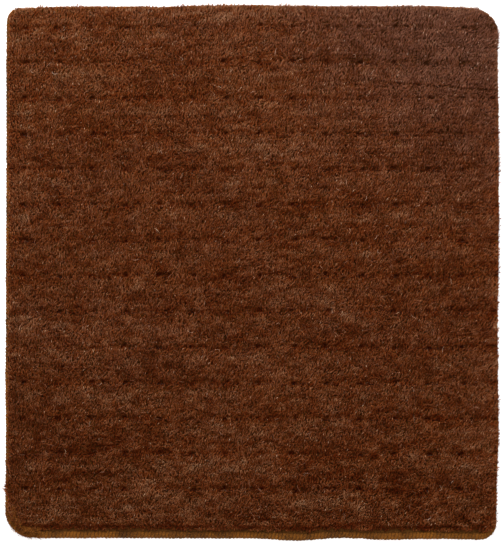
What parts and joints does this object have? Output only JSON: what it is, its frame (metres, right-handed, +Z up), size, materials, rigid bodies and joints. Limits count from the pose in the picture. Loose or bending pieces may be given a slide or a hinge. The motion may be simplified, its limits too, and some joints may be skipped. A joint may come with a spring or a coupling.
{
  "type": "door mat",
  "caption": "Nearly square door mat with a deep, leaning cut pile tied down in rows, serged edges and a flat lined underside.",
  "frame": {"origin": "on the floor, under the middle of the mat", "axes": "+X to the right along the width, +Y along the length towards the end that the pile leans to, +Z up"},
  "size_m": [0.6, 0.65, 0.02],
  "materials": {
    "pile_yarn": "matt chestnut cut pile",
    "ground_cloth": "matt dark woven jute",
    "backing_cloth": "matt plain-woven jute",
    "serging_yarn": "matt ochre twisted yarn",
    "edge_cord": "matt jute cord",
    "tie_thread": "matt dark brown thread"
  },
  "bodies": {
    "root": {"backing_cloth": "backing_cloth", "backing_seam_thread": "serging_yarn", "ground_cloth": "ground_cloth", "edge_cord": "edge_cord", "edge_serging": "serging_yarn", "tie_thread_01": "tie_thread", "tie_thread_02": "tie_thread", "tie_thread_03": "tie_thread", "tie_thread_04": "tie_thread", "tie_thread_05": "tie_thread", "tie_thread_06": "tie_thread", "tie_thread_07": "tie_thread", "tie_thread_08": "tie_thread", "tie_thread_09": "tie_thread", "tie_thread_10": "tie_thread", "tie_thread_11": "tie_thread", "tie_thread_12": "tie_thread", "tie_thread_13": "tie_thread", "tie_thread_14": "tie_thread", "pile_band_01": "pile_yarn", "pile_band_02": "pile_yarn", "pile_band_03": "pile_yarn", "pile_band_04": "pile_yarn", "pile_band_05": "pile_yarn", "pile_band_06": "pile_yarn", "pile_band_07": "pile_yarn", "pile_band_08": "pile_yarn", "pile_band_09": "pile_yarn", "pile_band_10": "pile_yarn", "pile_band_11": "pile_yarn", "pile_band_12": "pile_yarn", "pile_band_13": "pile_yarn", "pile_band_14": "pile_yarn", "pile_band_15": "pile_yarn"}
  },
  "joints": []
}
